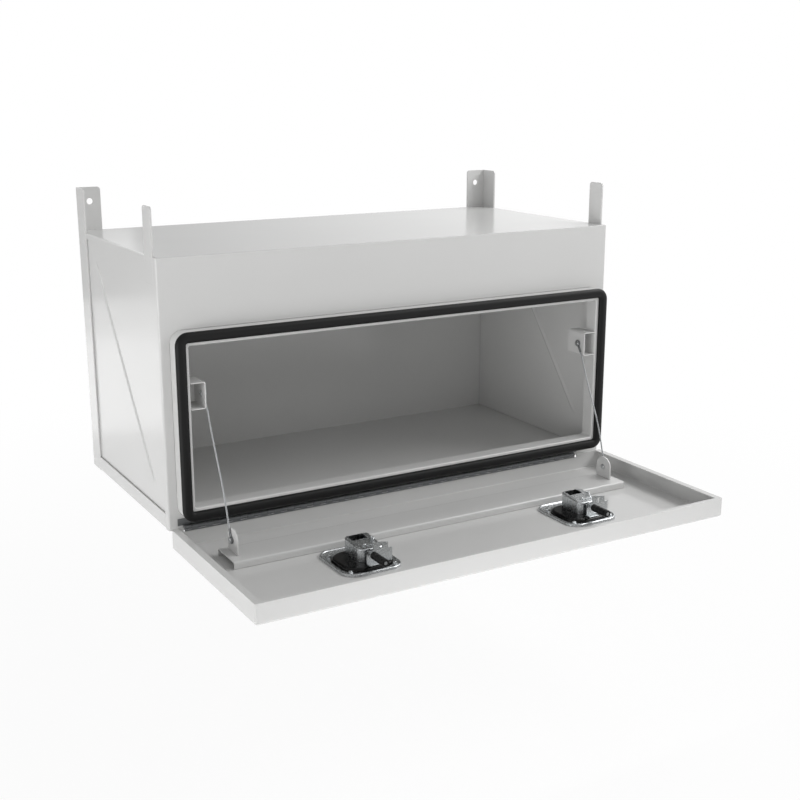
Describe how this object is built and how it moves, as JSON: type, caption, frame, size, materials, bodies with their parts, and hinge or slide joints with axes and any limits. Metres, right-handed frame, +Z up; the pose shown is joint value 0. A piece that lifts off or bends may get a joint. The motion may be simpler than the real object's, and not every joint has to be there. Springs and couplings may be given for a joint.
{
  "type": "underbody truck tool box",
  "caption": "Steel underbody tool box with a drop-down door on a continuous hinge, a sealed opening, wire door stays and folding T-handle latches.",
  "frame": {"origin": "centre of the box's underside", "axes": "+X to the right along the door's hinge as seen from the front, +Y to the back of the box, +Z up"},
  "size_m": [0.914, 0.7856, 0.571],
  "materials": {
    "powder_coat": "smooth pale grey-white powder coat",
    "seal_rubber": "soft black rubber",
    "steel": "plain bright steel",
    "zinc": "bright zinc plate",
    "black_coating": "black coating",
    "sleeve_plastic": "black nylon"
  },
  "bodies": {
    "box": {"top_panel": "powder_coat", "floor_panel": "powder_coat", "front_panel": "powder_coat", "back_panel": "powder_coat", "side_panel_left": "powder_coat", "side_panel_right": "powder_coat", "rear_post_left": "powder_coat", "rear_post_right": "powder_coat", "front_bar_left": "powder_coat", "front_bar_right": "powder_coat", "opening_collar": "powder_coat", "door_seal": "seal_rubber", "hinge_leaf_box": "steel", "hinge_pin": "steel", "stay_bracket_left": "powder_coat", "stay_bracket_right": "powder_coat", "stay_pin_upper_left": "zinc", "stay_pin_upper_right": "zinc"},
    "door": {"door_pan": "powder_coat", "door_stiffener": "powder_coat", "hinge_leaf_door": "steel", "stay_tab_left": "powder_coat", "stay_tab_right": "powder_coat", "stay_pin_lower_left": "zinc", "stay_pin_lower_right": "zinc", "stay_cable_left": "steel", "stay_cable_right": "steel", "latch_dish_left": "black_coating", "latch_dish_right": "black_coating", "latch_gasket_left": "seal_rubber", "latch_gasket_right": "seal_rubber", "latch_clamp_left": "zinc", "latch_clamp_right": "zinc", "latch_housing_left": "zinc", "latch_housing_right": "zinc", "latch_guide_left": "zinc", "latch_guide_right": "zinc"},
    "handle_left": {"latch_spindle_left": "steel", "latch_crank_left": "steel", "latch_grip_pin_left": "steel"},
    "handle_right": {"latch_spindle_right": "steel", "latch_crank_right": "steel", "latch_grip_pin_right": "steel"},
    "grip_left": {"latch_grip_left": "black_coating"},
    "grip_right": {"latch_grip_right": "black_coating"},
    "lock_left": {"lock_plug_left": "zinc"},
    "lock_right": {"lock_plug_right": "zinc"},
    "bolt_left": {"latch_bolt_left": "zinc", "bolt_sleeve_left": "sleeve_plastic"},
    "bolt_right": {"latch_bolt_right": "zinc", "bolt_sleeve_right": "sleeve_plastic"}
  },
  "joints": [
    {"name": "door_hinge", "type": "hinge", "parent": "box", "child": "door", "pos_m": [0, -0.2195, 0.0041], "axis": [-1, 0, 0], "range_deg": [0, 90], "deforming": ["stay_cable_left", "stay_cable_right"]},
    {"name": "handle_turn_left", "type": "hinge", "parent": "door", "child": "handle_left", "pos_m": [-0.2105, -0.438, -0.0296], "axis": [0, 0, -1], "range_deg": [0, 90]},
    {"name": "handle_turn_right", "type": "hinge", "parent": "door", "child": "handle_right", "pos_m": [0.235, -0.438, -0.0296], "axis": [0, 0, -1], "range_deg": [0, 90]},
    {"name": "grip_fold_left", "type": "hinge", "parent": "handle_left", "child": "grip_left", "pos_m": [-0.2105, -0.438, -0.0261], "axis": [0, -1, 0], "range_deg": [0, 90]},
    {"name": "grip_fold_right", "type": "hinge", "parent": "handle_right", "child": "grip_right", "pos_m": [0.235, -0.438, -0.0261], "axis": [0, -1, 0], "range_deg": [0, 90]},
    {"name": "lock_turn_left", "type": "hinge", "parent": "grip_left", "child": "lock_left", "pos_m": [-0.2395, -0.438, -0.0261], "axis": [0, 0, 1], "range_deg": [0, 90]},
    {"name": "lock_turn_right", "type": "hinge", "parent": "grip_right", "child": "lock_right", "pos_m": [0.206, -0.438, -0.0261], "axis": [0, 0, 1], "range_deg": [0, 90]},
    {"name": "bolt_slide_left", "type": "slide", "parent": "door", "child": "bolt_left", "axis": [0, -1, 0], "range_m": [0, 0.02193]},
    {"name": "bolt_slide_right", "type": "slide", "parent": "door", "child": "bolt_right", "axis": [0, -1, 0], "range_m": [0, 0.02193]}
  ],
  "couplings": [
    {"joint": "bolt_slide_left", "follows": "handle_turn_left", "m_per_rad": 0.01395},
    {"joint": "bolt_slide_right", "follows": "handle_turn_right", "m_per_rad": 0.01395}
  ]
}
